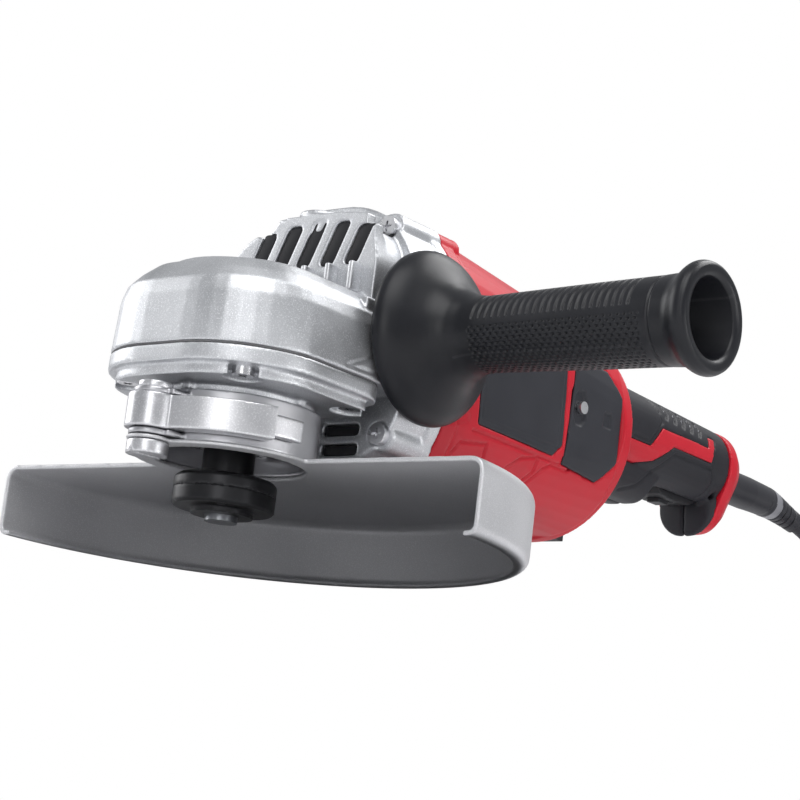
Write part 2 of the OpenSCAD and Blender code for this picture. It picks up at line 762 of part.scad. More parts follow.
module motor_housing() {
    color("#c32034") difference() {
        union() {
            difference() {
                union() {
                    motor_form(0);
                    along_x(gear_len, 9) body_section(0);
                    at_flange_corners(gear_len + 14) cylinder(h = 14, r = 6.5);
                    rod_x(ring_x0, 0, rear_mid, motor_x1 - ring_x0, ring_r);
                }
                motor_form(wall);
                // front opening and the hollow behind the rear bearing
                along_x(gear_len - 1, 12) body_section(wall + 1);
                rod_x(ring_x0 - 4, 0, rear_mid, rear_wall_x - ring_x0 + 4, ring_r - wall - 3);
                // recesses of the side panels
                difference() {
                    union() for (s = [-1, 1]) {
                        label_blocks(s, seat_gap);
                        brush_blocks(s, seat_gap);
                    }
                    motor_form(1.8);
                }
            }
            // rings that hold the stator
            for (x = [stator_x0 + 10, stator_x0 + stator_len - 14]) tube_x(x, motor_z, 4, 47.3, stator_d / 2 + 0.1);
            // bridge that holds the rear bearing
            along_x(rear_bearing_x - 2, rear_bearing_w + 2) translate([0, motor_z]) square([93, 30], center = true);
        }
        rod_x(rear_bearing_x, 0, motor_z, 20, rear_bearing_d / 2 + 0.02);
        rod_x(rear_bearing_x - 5, 0, motor_z, 20, 7);
        // windows to the carbon brushes
        for (s = [-1, 1]) translate([brush_x - 8, s * 45 - 8, motor_z - 7]) cube([16, 16, 14]);
        // swivel opening
        rod_x(rear_wall_x - 1, 0, swivel_z, 20, swivel_r + run_gap);
        at_flange_corners(gear_len + 12) cylinder(h = 14, r = m5 + tap_fit);
        // slot of the swivel latch
        translate([motor_x1 - 20, -5, rear_mid - 45.4]) cube([30, 10, 6.4]);
        // screw holes of the brush covers
        for (s = [-1, 1]) rod_y(brush_screw_x, s * 49 + 6, 88, 12, m4 + tap_fit);
    }
}

module label_panel(side) {
    color("#3a3b42") intersection() {
        label_blocks(side, 0);
        difference() {
            motor_form(0.2);
            motor_form(1.8 - seat_gap);
        }
    }
}

module brush_cover(side) {
    color("#26272c") difference() {
        intersection() {
            brush_blocks(side, 0);
            difference() {
                motor_form(-0.3);
                motor_form(1.8 - seat_gap);
            }
        }
        rod_y(brush_screw_x, side * 49 + 6, 88, 12, m4 + 0.2);
    }
}

module left_label_panel() { label_panel(1); }
module right_label_panel() { label_panel(-1); }
module left_brush_cover() { brush_cover(1); }
module right_brush_cover() { brush_cover(-1); }

module brush_cover_screws() {
    color("silver") for (s = [-1, 1]) translate([brush_screw_x, s * 50.2, 88]) rotate([-s * 90, 0, 0])
        pan_screw(m4, m4_head - 0.8, 1.6, 5);
}

module swivel_latch() {
    color("#202124") {
        translate([motor_x1 - 13, -4.7, rear_mid - 45.1]) cube([25, 9.4, 5.8]);
        translate([motor_x1 + 4, -7, rear_mid - 47.6]) cube([10, 14, 4]);
    }
}

module latch_spring() {
    color("silver") rod_x(motor_x1 - 19.8, 0, rear_mid - 42.2, 6.6, 2);
}

// ---------------------------------------------------------------- rear handle

module barrel_form(inset) {
    hull() {
        along_x(handle_x0 + inset, 0.1) translate([0, grip_mid])
            round_rect(grip_w - 2 * inset, grip_h - 2 * inset, 21 - inset, $fn = 40);
        along_x(cap_x0 - 0.1, 0.1) translate([0, grip_mid - 2.5])
            round_rect(grip_w - 4 - 2 * inset, grip_h - 4 - 2 * inset, 20 - inset, $fn = 40);
    }
}

module handle_form() {
    barrel_form(0);
    // hand stop at the front
    hull() {
        along_x(handle_x0, 0.1) translate([0, grip_low + 2]) round_rect(42, 26, 12, $fn = 32);
        along_x(trigger_x0 - 16, 0.1) translate([0, grip_low + 1]) round_rect(34, 25, 11, $fn = 32);
        along_x(trigger_x0 - 4, 0.1) translate([0, grip_low + 10]) round_rect(30, 19, 9, $fn = 32);
    }
    // hook behind the trigger
    hull() {
        along_x(trigger_x0 + trigger_len + 1, 0.1) translate([0, grip_low + 10]) round_rect(30, 22, 10, $fn = 32);
        along_x((trigger_x0 + trigger_len + cap_x0) / 2, 0.1) translate([0, grip_low]) round_rect(31, 31, 14, $fn = 32);
        along_x(cap_x0 - 0.1, 0.1) translate([0, grip_low + 1]) round_rect(35, 34, 16, $fn = 32);
    }
}

// Outline of the coloured trim on the handle's side, drawn as (X, Z)
module trim_block(side, grow) {
    x = handle_x0;
    translate([0, side > 0 ? 60 : -8, 0]) rotate([90, 0, 0]) linear_extrude(52) polygon([
        [x + 2, 84 - grow], [x + 50 + grow, 84 - grow], [x + 64 + grow, 88 - grow], [x + 78 + grow, 98 - grow],
        [x + 114 + grow, 98 - grow], [x + 118 + grow, 111 + grow], [x + 112 - grow, 111 + grow],
        [x + 111 - grow, 105 + grow], [x + 66 - grow, 105 + grow], [x + 57 - grow, 94 + grow], [x + 2, 94 + grow]]);
}

module handle_shell(side) {
    color("#202126") difference() {
        intersection() {
            union() {
                handle_form();
                rod_x(rear_wall_x - 2, 0, swivel_z, 12, swivel_r);
                rod_x(rear_wall_x - 5.3, 0, swivel_z, 5, swivel_r + 3.5);
            }
            translate([0, side > 0 ? 0.02 : -100, 0]) cube([500, 99.98, 200]);
        }
        barrel_form(wall);
        rod_x(rear_wall_x - 8, 0, swivel_z, 30, swivel_r - 5);
        // trigger opening
        translate([trigger_x0 - 1, -trigger_w / 2 - 0.5, 60]) cube([trigger_len + 2, trigger_w + 1, grip_low + 8 - 60]);
        // recess of the trim
        difference() {
            trim_block(side, seat_gap);
            barrel_form(1.8);
        }
        // hinge pin of the trigger and the screw holes
        rod_y(trigger_hinge_x, 14, trigger_hinge_z, 28, 1.55);
        for (p = handle_screw_places) rod_y(p[0], 40, p[1], 80, 1.75);
        for (p = handle_screw_places) rod_y(p[0], grip_w / 2 + 15, p[1], 20, 3.6);
    }
}

handle_screw_places = [[handle_x0 + 20, grip_low + 1], [handle_x0 + 128, grip_low + 5]];

module left_handle_shell() { handle_shell(1); }
module right_handle_shell() { handle_shell(-1); }

module handle_trim(side) {
    color("#c32034") intersection() {
        trim_block(side, 0);
        difference() {
            barrel_form(0);
            barrel_form(1.8 - seat_gap);
        }
    }
}

module left_handle_trim() { handle_trim(1); }
module right_handle_trim() { handle_trim(-1); }

module handle_screws() {
    color("silver") for (p = handle_screw_places) translate([p[0], grip_w / 2 - 5, p[1]]) rotate([-90, 0, 0])
        pan_screw(1.7, 3.2, 2, 32);
}

module handle_end_cap() {
    color("#c32034") difference() {
        hull() {
            along_x(cap_x0 + 0.2, 6) translate([0, cap_mid]) round_rect(grip_w + 1, cap_h, 20, $fn = 48);
            along_x(cap_x0 + 0.2, 6) translate([0, grip_low]) round_rect(36, 30, 14, $fn = 48);
            along_x(handle_x1 - 0.1, 0.1) translate([0, cap_mid]) round_rect(grip_w - 8, cap_h - 7, 17, $fn = 48);
            along_x(handle_x1 - 0.1, 0.1) translate([0, grip_low + 3]) round_rect(28, 24, 11, $fn = 48);
        }
        along_x(cap_x0 - 1, 8) translate([0, cap_mid]) round_rect(grip_w - 6, cap_h - 8, 16);
        rod_x(cap_x0 - 1, 0, swivel_z, 40, boot_d / 2 + run_gap);
    }
}

module switch_block() {
    color("#303136") translate([trigger_x0 + 8, -9, grip_low + 12]) cube([34, 18, 20]);
}

module trigger() {
    x0 = trigger_x0;
    color("#2a2b30") difference() {
        union() {
            rod_y(trigger_hinge_x, trigger_w / 2, trigger_hinge_z, trigger_w, 3.5);
            translate([0, trigger_w / 2, 0]) rotate([90, 0, 0]) linear_extrude(trigger_w)
                polygon([[x0 + 1, grip_low + 3], [x0 + 6, grip_low - 1.4], [x0 + 16, grip_low - 2.6], [x0 + trigger_len - 6, grip_low - 1.6],
                         [x0 + trigger_len - 0.6, grip_low + 1], [x0 + trigger_len - 0.6, grip_low + 5.5], [x0 + 9, grip_low + 5.5], [x0 + 2, grip_low + 6]]);
        }
        rod_y(trigger_hinge_x, 14, trigger_hinge_z, 28, 1.55);
        translate([x0 + 12, -3.7, grip_low - 5]) cube([14, 7.4, 20]);
    }
    // hinge pin, fixed in the trigger
    color("silver") rod_y(trigger_hinge_x, trigger_w / 2 + 3, trigger_hinge_z, trigger_w + 6, 1.5);
}

module trigger_spring() {
    color("silver") translate([trigger_x0 + 30, 0, grip_low + 5.7]) cylinder(h = 6, r = 2.5);
}

module lock_off_slider() {
    color("#c32034") translate([trigger_x0 + 12.3, -3.4, grip_low - 4.2]) cube([8.5, 6.8, 8.5]);
}

// ---------------------------------------------------------------- mains cord

boot_x0 = handle_x1 + boot_len;
boot_end_r = 5.8;
floor_z = plate_z - guard_depth;
coil_r = 50;
coil_t = 16;
coil_x = 545;
coil_y = -75;

plug_r = 17;
plug_x = 545;
plug_y = -172;

// Middle line of the strain relief beyond its straight part, and its radius at each point
boot_route = [[406, 0, 98], [412, 0, 98], [418, 0, 97.9], [424, 0, 97.6], [430, 0, 97], [436, 0, 96],
    [441.5, -0.5, 94.8], [446.5, -1.5, 93.2], [451, -3, 91.4]];
boot_radii = [boot_d / 2 - 0.3, boot_d / 2 - 0.5, 8.6, 8.2, 7.6, 7.1, 6.6, 6.1, boot_end_r];

// Middle line of the cord from the strain relief down to the coil
cord_route = [[450, -2.6, 91.8], [458, -6, 87.6], [466, -10, 81.5], [474, -15, 73], [481, -21, 62.5], [487, -27, 50.5],
    [492, -33, 38], [496, -39.5, 26], [498.5, -46.5, 15.5], [499.5, -54.5, 8.5], [498.5, -63.5, 5.5]];

// Middle line of the cord from the coil to the plug
tail_route = [[502, -104, 5], [499, -115, 2.5], [496, -127, 2], [495, -139, 3], [497, -151, 5.5],
    [503, -162, 8.5], [512, -169.5, 11], [523.5, plug_y, 12]];

function unit(v) = v / norm(v);
function tangent(p, i) = unit(p[min(i + 1, len(p) - 1)] - p[max(i - 1, 0)]);
function side_of(t) = unit(cross(t, [0.2, 1, 0.1]));
function ring(c, t, r, n) = [for (k = [0 : n - 1])
    c + r * (cos(k * 360 / n) * side_of(t) + sin(k * 360 / n) * cross(t, side_of(t)))];

// Sweeps a round section of n sides along the points p, with radius r[i] at point i
module sweep_taper(p, r, n) {
    m = len(p);
    points = [for (i = [0 : m - 1]) each ring(p[i], tangent(p, i), r[i], n)];
    walls = [for (i = [0 : m - 2], k = [0 : n - 1]) each
        let (a = i * n + k, b = i * n + (k + 1) % n) [[a + n, b + n, b], [a + n, b, a]]];
    polyhedron(points = points, convexity = 4,
        faces = concat(walls, [[for (k = [0 : n - 1]) k]], [[for (k = [n - 1 : -1 : 0]) (m - 1) * n + k]]));
}

module strain_relief() {
    color("#202126") {
        rod_x(cap_x0 + 1, 0, swivel_z, 5.5, boot_d / 2 + 3);
        rod_x(cap_x0 + 1, 0, swivel_z, boot_x0 - cap_x0 - 1, boot_d / 2);
        sweep_taper(boot_route, boot_radii, 24);
    }
}

module mains_cord() {
    color("#1d1d20") {
        sweep_taper(cord_route, [for (p = cord_route) cord_d / 2], 10);
        sweep_taper(tail_route, [for (p = tail_route) cord_d / 2], 10);
    }
}

module cord_coil() {
    color("#1d1d20") translate([coil_x, coil_y, floor_z + coil_t]) rotate_extrude() translate([coil_r, 0]) circle(coil_t);
}

module cord_tie() {
    color("black") translate([coil_x + coil_r, coil_y, floor_z + coil_t]) rotate([90, 0, 0])
        tube_z(-6, 12, coil_t + 1.6, coil_t + 0.6);
}

module plug_body() {
    color("#1d1d20") {
        rod_x(plug_x, plug_y, floor_z + plug_r, 26, plug_r);
        translate([plug_x - 22, plug_y, floor_z + plug_r]) rotate([0, 90, 0]) cylinder(h = 22.01, r1 = 8, r2 = plug_r - 3);
    }
}

module plug_pins() {
    color("silver") for (s = [-1, 1]) rod_x(plug_x + 26, plug_y + s * 9.5, floor_z + plug_r, 19, 2.4);
}

gear_housing();
bearing_cover();
cover_gasket();
cover_screws();
housing_screws();
bearing_retainer();
retainer_screws();
lower_spindle_bearing();
upper_spindle_bush();
spindle();
crown_gear();
inner_flange();
lock_nut();
guard_shell();
guard_band();
clamp_lever();
lever_pivot();
spindle_lock_button();
spindle_lock_spring();
side_handle_grip();
side_handle_stud();
armature_shaft();
pinion();
front_motor_bearing();
rear_motor_bearing();
fan();
armature_core();
armature_windings();
commutator();
stator_core();
stator_windings();
air_baffle();
brush_holders();
carbon_brushes();
brush_springs();
motor_housing();
left_label_panel();
right_label_panel();
left_brush_cover();
right_brush_cover();
brush_cover_screws();
swivel_latch();
latch_spring();
left_handle_shell();
right_handle_shell();
left_handle_trim();
right_handle_trim();
handle_screws();
handle_end_cap();
switch_block();
trigger();
trigger_spring();
lock_off_slider();
strain_relief();
mains_cord();
cord_coil();
cord_tie();
plug_body();
plug_pins();
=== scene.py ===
import json
import math

import bmesh
import bpy
import numpy as np
from mathutils import Matrix, Vector


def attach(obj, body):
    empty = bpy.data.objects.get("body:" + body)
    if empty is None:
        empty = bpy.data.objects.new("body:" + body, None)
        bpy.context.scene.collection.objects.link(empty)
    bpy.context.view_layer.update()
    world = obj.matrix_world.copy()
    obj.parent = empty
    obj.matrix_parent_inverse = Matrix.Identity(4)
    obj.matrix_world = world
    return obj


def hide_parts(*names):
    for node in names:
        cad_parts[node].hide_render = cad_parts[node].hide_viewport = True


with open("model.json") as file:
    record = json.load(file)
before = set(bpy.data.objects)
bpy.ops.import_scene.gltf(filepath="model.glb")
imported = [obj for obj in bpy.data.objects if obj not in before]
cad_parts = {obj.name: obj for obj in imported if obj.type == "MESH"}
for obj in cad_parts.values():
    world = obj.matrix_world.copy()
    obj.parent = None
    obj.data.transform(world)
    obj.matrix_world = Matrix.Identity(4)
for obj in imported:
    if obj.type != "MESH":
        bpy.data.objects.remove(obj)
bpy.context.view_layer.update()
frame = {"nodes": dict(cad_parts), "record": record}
NODES = frame["nodes"]
MM = 0.001  # the frame is in metres, and outlines, grooves and rings are written in millimetres


# ---------------------------------------------------------------- camera, floor and light

CAMERA_AT = (-0.7137, -0.685614, -0.154127)
CAMERA_RIGHT = (0.616505, -0.778708, 0.116346)
CAMERA_UP = (-0.235121, -0.041055, 0.971099)
CAMERA_AHEAD = (0.751425, 0.626042, 0.208401)
CAMERA_LENS = 109.89
CAMERA_SHIFT = (-0.008, 0.0115)

TOOL_MIDDLE = (0.15, 0, 0.06)
ROOM_GLOW = 0.42
FLOOR_SPAN, FLOOR_HEIGHT = 3.0, -0.0053


def make_camera():
    """Looks up at the gear head from low in front, on the side handle's side."""
    data = bpy.data.cameras.new("camera")
    data.lens = CAMERA_LENS
    data.sensor_width = 36
    data.shift_x, data.shift_y = CAMERA_SHIFT
    data.clip_start = 0.01
    data.clip_end = 20
    camera = bpy.data.objects.new("camera", data)
    stand = Matrix((CAMERA_RIGHT, CAMERA_UP, -Vector(CAMERA_AHEAD))).transposed().to_4x4()
    stand.translation = Vector(CAMERA_AT)
    camera.matrix_world = stand
    bpy.context.scene.collection.objects.link(camera)
    bpy.context.scene.camera = camera


def area_light(name, spot, target, size, power):
    data = bpy.data.lights.new(name, "AREA")
    data.shape = "RECTANGLE"
    data.size, data.size_y = size
    data.energy = power
    light = bpy.data.objects.new(name, data)
    light.location = spot
    toward = Vector(target) - Vector(spot)
    light.rotation_euler = toward.to_track_quat("-Z", "Y").to_euler()
    bpy.context.scene.collection.objects.link(light)


def make_studio():
    """A plain white room: white where the camera sees it, a soft glow where it lights the tool."""
    scene = bpy.context.scene
    scene.view_settings.view_transform = "Standard"
    world = bpy.data.worlds.new("studio")
    scene.world = world
    world.use_nodes = True
    tree = world.node_tree
    tree.nodes.clear()
    out = tree.nodes.new("ShaderNodeOutputWorld")
    mix = tree.nodes.new("ShaderNodeMixShader")
    path = tree.nodes.new("ShaderNodeLightPath")
    seen = tree.nodes.new("ShaderNodeBackground")
    seen.inputs["Color"].default_value = (1, 1, 1, 1)
    lit = tree.nodes.new("ShaderNodeBackground")
    lit.inputs["Color"].default_value = (0.95, 0.97, 1, 1)
    lit.inputs["Strength"].default_value = ROOM_GLOW
    tree.links.new(path.outputs["Is Camera Ray"], mix.inputs["Fac"])
    tree.links.new(lit.outputs[0], mix.inputs[1])
    tree.links.new(seen.outputs[0], mix.inputs[2])
    tree.links.new(mix.outputs[0], out.inputs["Surface"])
    area_light("key", (-0.55, -0.5, 1.1), TOOL_MIDDLE, (0.9, 0.9), 9)
    area_light("side", (-1.1, -0.6, 0.15), TOOL_MIDDLE, (0.5, 1.0), 3)
    area_light("rim", (0.7, -0.3, 1.0), (0.1, -0.05, 0.08), (0.9, 0.5), 7)
    area_light("far_side", (-0.3, 1.1, 0.5), TOOL_MIDDLE, (0.9, 0.7), 5)
    area_light("under", (-0.1, -0.45, -0.8), (0.1, 0, 0.05), (1.1, 0.8), 13)
    area_light("end_fill", (0.35, -1.15, -0.15), (0.1, -0.05, 0.03), (0.7, 0.6), 8)


def make_floor():
    """A pale floor under the tool and the coil, clear from below."""
    mesh = bpy.data.meshes.new("floor")
    corners = [(x * FLOOR_SPAN, y * FLOOR_SPAN, FLOOR_HEIGHT) for x, y in ((-1, -1), (1, -1), (1, 1), (-1, 1))]
    mesh.from_pydata(corners, [], [(0, 1, 2, 3)])
    floor = bpy.data.objects.new("floor", mesh)
    bpy.context.scene.collection.objects.link(floor)
    material = bpy.data.materials.new("pale_floor")
    material.use_nodes = True
    tree = material.node_tree
    shader = tree.nodes["Principled BSDF"]
    shader.inputs["Base Color"].default_value = (0.86, 0.86, 0.87, 1)
    shader.inputs["Roughness"].default_value = 0.7
    shader.inputs["Specular IOR Level"].default_value = 0.2
    clear = tree.nodes.new("ShaderNodeBsdfTransparent")
    side = tree.nodes.new("ShaderNodeNewGeometry")
    mix = tree.nodes.new("ShaderNodeMixShader")
    tree.links.new(side.outputs["Backfacing"], mix.inputs["Fac"])
    tree.links.new(shader.outputs[0], mix.inputs[1])
    tree.links.new(clear.outputs[0], mix.inputs[2])
    tree.links.new(mix.outputs[0], tree.nodes["Material Output"].inputs["Surface"])
    mesh.materials.append(material)


# ---------------------------------------------------------------- shader groups

def new_group(name, inputs, outputs):
    tree = bpy.data.node_groups.new(name, "ShaderNodeTree")
    for label, kind, value in inputs:
        socket = tree.interface.new_socket(label, in_out="INPUT", socket_type=kind)
        if value is not None:
            socket.default_value = value
    for label, kind in outputs:
        tree.interface.new_socket(label, in_out="OUTPUT", socket_type=kind)
    return tree, tree.nodes.new("NodeGroupInput"), tree.nodes.new("NodeGroupOutput")


def group_grain():
    """Fine moulded or blasted grain: a height, and a mask of its high spots."""
    tree, given, out = new_group(
        "surface_grain",
        [("Scale", "NodeSocketFloat", 1500.0), ("Roughness", "NodeSocketFloat", 0.6)],
        [("Height", "NodeSocketFloat"), ("Spots", "NodeSocketFloat")])
    where = tree.nodes.new("ShaderNodeTexCoord")
    noise = tree.nodes.new("ShaderNodeTexNoise")
    noise.inputs["Detail"].default_value = 2.0
    spots = tree.nodes.new("ShaderNodeMapRange")
    spots.inputs["From Min"].default_value = 0.52
    spots.inputs["From Max"].default_value = 0.72
    tree.links.new(where.outputs["Object"], noise.inputs["Vector"])
    tree.links.new(given.outputs["Scale"], noise.inputs["Scale"])
    tree.links.new(given.outputs["Roughness"], noise.inputs["Roughness"])
    tree.links.new(noise.outputs["Fac"], spots.inputs["Value"])
    tree.links.new(noise.outputs["Fac"], out.inputs["Height"])
    tree.links.new(spots.outputs["Result"], out.inputs["Spots"])
    return tree


def group_clouds():
    """Broad uneven patches, such as handling marks and dull areas, from 0 to 1."""
    tree, given, out = new_group(
        "uneven_patches",
        [("Scale", "NodeSocketFloat", 40.0)],
        [("Patches", "NodeSocketFloat")])
    where = tree.nodes.new("ShaderNodeTexCoord")
    noise = tree.nodes.new("ShaderNodeTexNoise")
    noise.inputs["Detail"].default_value = 5.0
    spread = tree.nodes.new("ShaderNodeMapRange")
    spread.inputs["From Min"].default_value = 0.3
    spread.inputs["From Max"].default_value = 0.7
    tree.links.new(where.outputs["Object"], noise.inputs["Vector"])
    tree.links.new(given.outputs["Scale"], noise.inputs["Scale"])
    tree.links.new(noise.outputs["Fac"], spread.inputs["Value"])
    tree.links.new(spread.outputs["Result"], out.inputs["Patches"])
    return tree


def group_edge_wear():
    """Where sharp outer edges are rubbed, from 0 to 1."""
    tree, given, out = new_group(
        "edge_wear",
        [("Amount", "NodeSocketFloat", 0.5), ("Scale", "NodeSocketFloat", 300.0)],
        [("Worn", "NodeSocketFloat")])
    shape = tree.nodes.new("ShaderNodeNewGeometry")
    edge = tree.nodes.new("ShaderNodeMapRange")
    edge.inputs["From Min"].default_value = 0.53
    edge.inputs["From Max"].default_value = 0.62
    where = tree.nodes.new("ShaderNodeTexCoord")
    noise = tree.nodes.new("ShaderNodeTexNoise")
    patchy = tree.nodes.new("ShaderNodeMath")
    patchy.operation = "MULTIPLY"
    amount = tree.nodes.new("ShaderNodeMath")
    amount.operation = "MULTIPLY"
    tree.links.new(shape.outputs["Pointiness"], edge.inputs["Value"])
    tree.links.new(where.outputs["Object"], noise.inputs["Vector"])
    tree.links.new(given.outputs["Scale"], noise.inputs["Scale"])
    tree.links.new(edge.outputs["Result"], patchy.inputs[0])
    tree.links.new(noise.outputs["Fac"], patchy.inputs[1])
    tree.links.new(patchy.outputs[0], amount.inputs[0])
    tree.links.new(given.outputs["Amount"], amount.inputs[1])
    tree.links.new(amount.outputs[0], out.inputs["Worn"])
    return tree


def group_turned():
    """Fine lines left by turning or brushing, along a stretched noise."""
    tree, given, out = new_group(
        "drawn_lines",
        [("Stretch", "NodeSocketVector", (60.0, 60.0, 4000.0))],
        [("Lines", "NodeSocketFloat")])
    where = tree.nodes.new("ShaderNodeTexCoord")
    scale = tree.nodes.new("ShaderNodeVectorMath")
    scale.operation = "MULTIPLY"
    noise = tree.nodes.new("ShaderNodeTexNoise")
    noise.inputs["Scale"].default_value = 1.0
    noise.inputs["Detail"].default_value = 3.0
    tree.links.new(where.outputs["Object"], scale.inputs[0])
    tree.links.new(given.outputs["Stretch"], scale.inputs[1])
    tree.links.new(scale.outputs[0], noise.inputs["Vector"])
    tree.links.new(noise.outputs["Fac"], out.inputs["Lines"])
    return tree


GRAIN = group_grain()
CLOUDS = group_clouds()
WEAR = group_edge_wear()
DRAWN = group_turned()


def put(tree, group, **values):
    """Places a shader group in a material with its own values."""
    node = tree.nodes.new("ShaderNodeGroup")
    node.node_tree = group
    for label, value in values.items():
        node.inputs[label].default_value = value
    return node


def mixed_colour(tree, mask, dark, light):
    """A colour between two others, each a fixed colour or an output, as the mask says."""
    mix = tree.nodes.new("ShaderNodeMix")
    mix.data_type = "RGBA"
    for socket, value in ((mix.inputs[6], dark), (mix.inputs[7], light)):
        if isinstance(value, tuple):
            socket.default_value = (*value, 1)
        else:
            tree.links.new(value, socket)
    tree.links.new(mask, mix.inputs[0])
    return mix.outputs[2]


def ranged(tree, value, low, high):
    """The value, from 0 to 1, spread between low and high."""
    node = tree.nodes.new("ShaderNodeMapRange")
    node.inputs["To Min"].default_value = low
    node.inputs["To Max"].default_value = high
    tree.links.new(value, node.inputs["Value"])
    return node.outputs["Result"]


def finish_of(name, dark, light, rough, metallic=0.0, grain=1500.0, bump=0.3, depth=0.0001,
              patches=40.0, spark=None, worn=None, wear=0.5, lines=None, coat=0.0, specular=0.5):
    """A finish with uneven colour and gloss, and a grain or drawn lines in its bump.

    spark is the colour of the grain's high spots and worn that of rubbed edges, where a finish has them.
    """
    material = bpy.data.materials.new(name)
    material.use_nodes = True
    tree = material.node_tree
    shader = tree.nodes["Principled BSDF"]
    shader.inputs["Metallic"].default_value = metallic
    shader.inputs["Coat Weight"].default_value = coat
    shader.inputs["Coat Roughness"].default_value = 0.2
    shader.inputs["Specular IOR Level"].default_value = specular
    fine = put(tree, GRAIN, Scale=grain)
    broad = put(tree, CLOUDS, Scale=patches)
    colour = mixed_colour(tree, broad.outputs["Patches"], dark, light)
    if spark:
        colour = mixed_colour(tree, fine.outputs["Spots"], colour, spark)
    if worn:
        edge = put(tree, WEAR, Amount=wear)
        colour = mixed_colour(tree, edge.outputs["Worn"], colour, worn)
    tree.links.new(colour, shader.inputs["Base Color"])
    tree.links.new(ranged(tree, broad.outputs["Patches"], rough[0], rough[1]), shader.inputs["Roughness"])
    height = fine.outputs["Height"]
    if lines:
        height = put(tree, DRAWN, Stretch=lines).outputs["Lines"]
    knock = tree.nodes.new("ShaderNodeBump")
    knock.inputs["Strength"].default_value = bump
    knock.inputs["Distance"].default_value = depth
    tree.links.new(height, knock.inputs["Height"])
    tree.links.new(knock.outputs["Normal"], shader.inputs["Normal"])
    return material


BRIGHT = (0.85, 0.85, 0.87)
FINISHES = {
    "cast_housing": finish_of(
        "blasted_casting", (0.50, 0.51, 0.53), (0.62, 0.63, 0.65), (0.36, 0.46), 0.9,
        grain=1900, bump=0.55, spark=(0.86, 0.87, 0.89), worn=BRIGHT, wear=0.9),
    "gasket_fibre": finish_of(
        "fibre_gasket", (0.10, 0.10, 0.105), (0.15, 0.15, 0.155), (0.8, 0.95), grain=900),
    "zinc_screws": finish_of(
        "zinc_plate", (0.62, 0.62, 0.64), (0.78, 0.78, 0.80), (0.2, 0.32), 1.0,
        grain=2500, bump=0.15, worn=(0.9, 0.9, 0.9)),
    "pressed_steel": finish_of(
        "pressed_steel", (0.46, 0.46, 0.48), (0.6, 0.6, 0.62), (0.3, 0.42), 1.0,
        grain=900, bump=0.2, worn=BRIGHT),
    "bright_steel": finish_of(
        "ground_steel", (0.5, 0.5, 0.52), (0.66, 0.66, 0.68), (0.2, 0.34), 1.0,
        lines=(80.0, 80.0, 5000.0), bump=0.25),
    "bronze": finish_of(
        "turned_bronze", (0.45, 0.26, 0.10), (0.62, 0.38, 0.16), (0.28, 0.4), 1.0, grain=1200),
    "gear_steel": finish_of(
        "gear_steel", (0.22, 0.23, 0.25), (0.34, 0.35, 0.37), (0.25, 0.4), 1.0,
        grain=1500, worn=(0.7, 0.7, 0.72)),
    "blackened_steel": finish_of(
        "black_oxide", (0.018, 0.018, 0.02), (0.035, 0.035, 0.038), (0.28, 0.4), 0.6,
        grain=1400, bump=0.2, worn=(0.30, 0.30, 0.31), wear=0.9),
    "guard_steel": finish_of(
        "silver_lacquer", (0.56, 0.56, 0.575), (0.64, 0.64, 0.655), (0.38, 0.48), 0.55,
        grain=2300, bump=0.3, spark=(0.78, 0.78, 0.80), worn=BRIGHT, wear=0.6, patches=22),
    "lever_alloy": finish_of(
        "lever_casting", (0.60, 0.60, 0.62), (0.74, 0.74, 0.76), (0.26, 0.38), 0.95,
        grain=1500, bump=0.35, spark=(0.9, 0.9, 0.92), worn=(0.95, 0.95, 0.95)),
    "handle_rubber": finish_of(
        "satin_black_grip", (0.006, 0.0065, 0.009), (0.010, 0.0105, 0.014), (0.32, 0.42),
        specular=0.32, grain=1700, bump=0.22, worn=(0.05, 0.05, 0.055), wear=0.5),
    "black_plastic": finish_of(
        "black_moulding", (0.009, 0.009, 0.011), (0.015, 0.015, 0.018), (0.45, 0.58),
        specular=0.28, grain=1300, bump=0.3, worn=(0.06, 0.06, 0.065)),
    "laminations": finish_of(
        "stacked_sheet", (0.24, 0.24, 0.25), (0.38, 0.38, 0.39), (0.35, 0.5), 1.0,
        lines=(2200.0, 30.0, 30.0), bump=0.6),
    "copper": finish_of(
        "enamelled_copper", (0.42, 0.15, 0.06), (0.62, 0.26, 0.12), (0.25, 0.4), 0.9,
        lines=(60.0, 1800.0, 1800.0), bump=0.6),
    "carbon": finish_of(
        "carbon_brush", (0.02, 0.02, 0.022), (0.045, 0.045, 0.047), (0.5, 0.7), grain=2500),
    "red_plastic": finish_of(
        "red_moulding", (0.47, 0.006, 0.018), (0.54, 0.009, 0.024), (0.34, 0.44),
        specular=0.3, grain=1300, bump=0.12, worn=(0.66, 0.05, 0.08), wear=0.5),
    "panel_plastic": finish_of(
        "dark_panel", (0.022, 0.023, 0.029), (0.029, 0.030, 0.037), (0.42, 0.52),
        specular=0.28, grain=1200, bump=0.25, worn=(0.09, 0.09, 0.1), wear=0.5),
    "grip_rubber": finish_of(
        "soft_grip", (0.012, 0.012, 0.016), (0.018, 0.018, 0.023), (0.44, 0.56),
        specular=0.28, grain=1500, bump=0.3, worn=(0.06, 0.06, 0.066), wear=0.5),
    "cord_rubber": finish_of(
        "cord_rubber", (0.020, 0.020, 0.025), (0.030, 0.030, 0.036), (0.4, 0.52),
        specular=0.35, grain=1300, bump=0.25),
    "boot_band": finish_of(
        "pale_boot_ring", (0.16, 0.16, 0.18), (0.26, 0.26, 0.28), (0.35, 0.5), grain=1300),
    "pin_brass": finish_of(
        "plated_pins", (0.62, 0.56, 0.42), (0.74, 0.68, 0.52), (0.2, 0.32), 1.0, grain=1500),
}

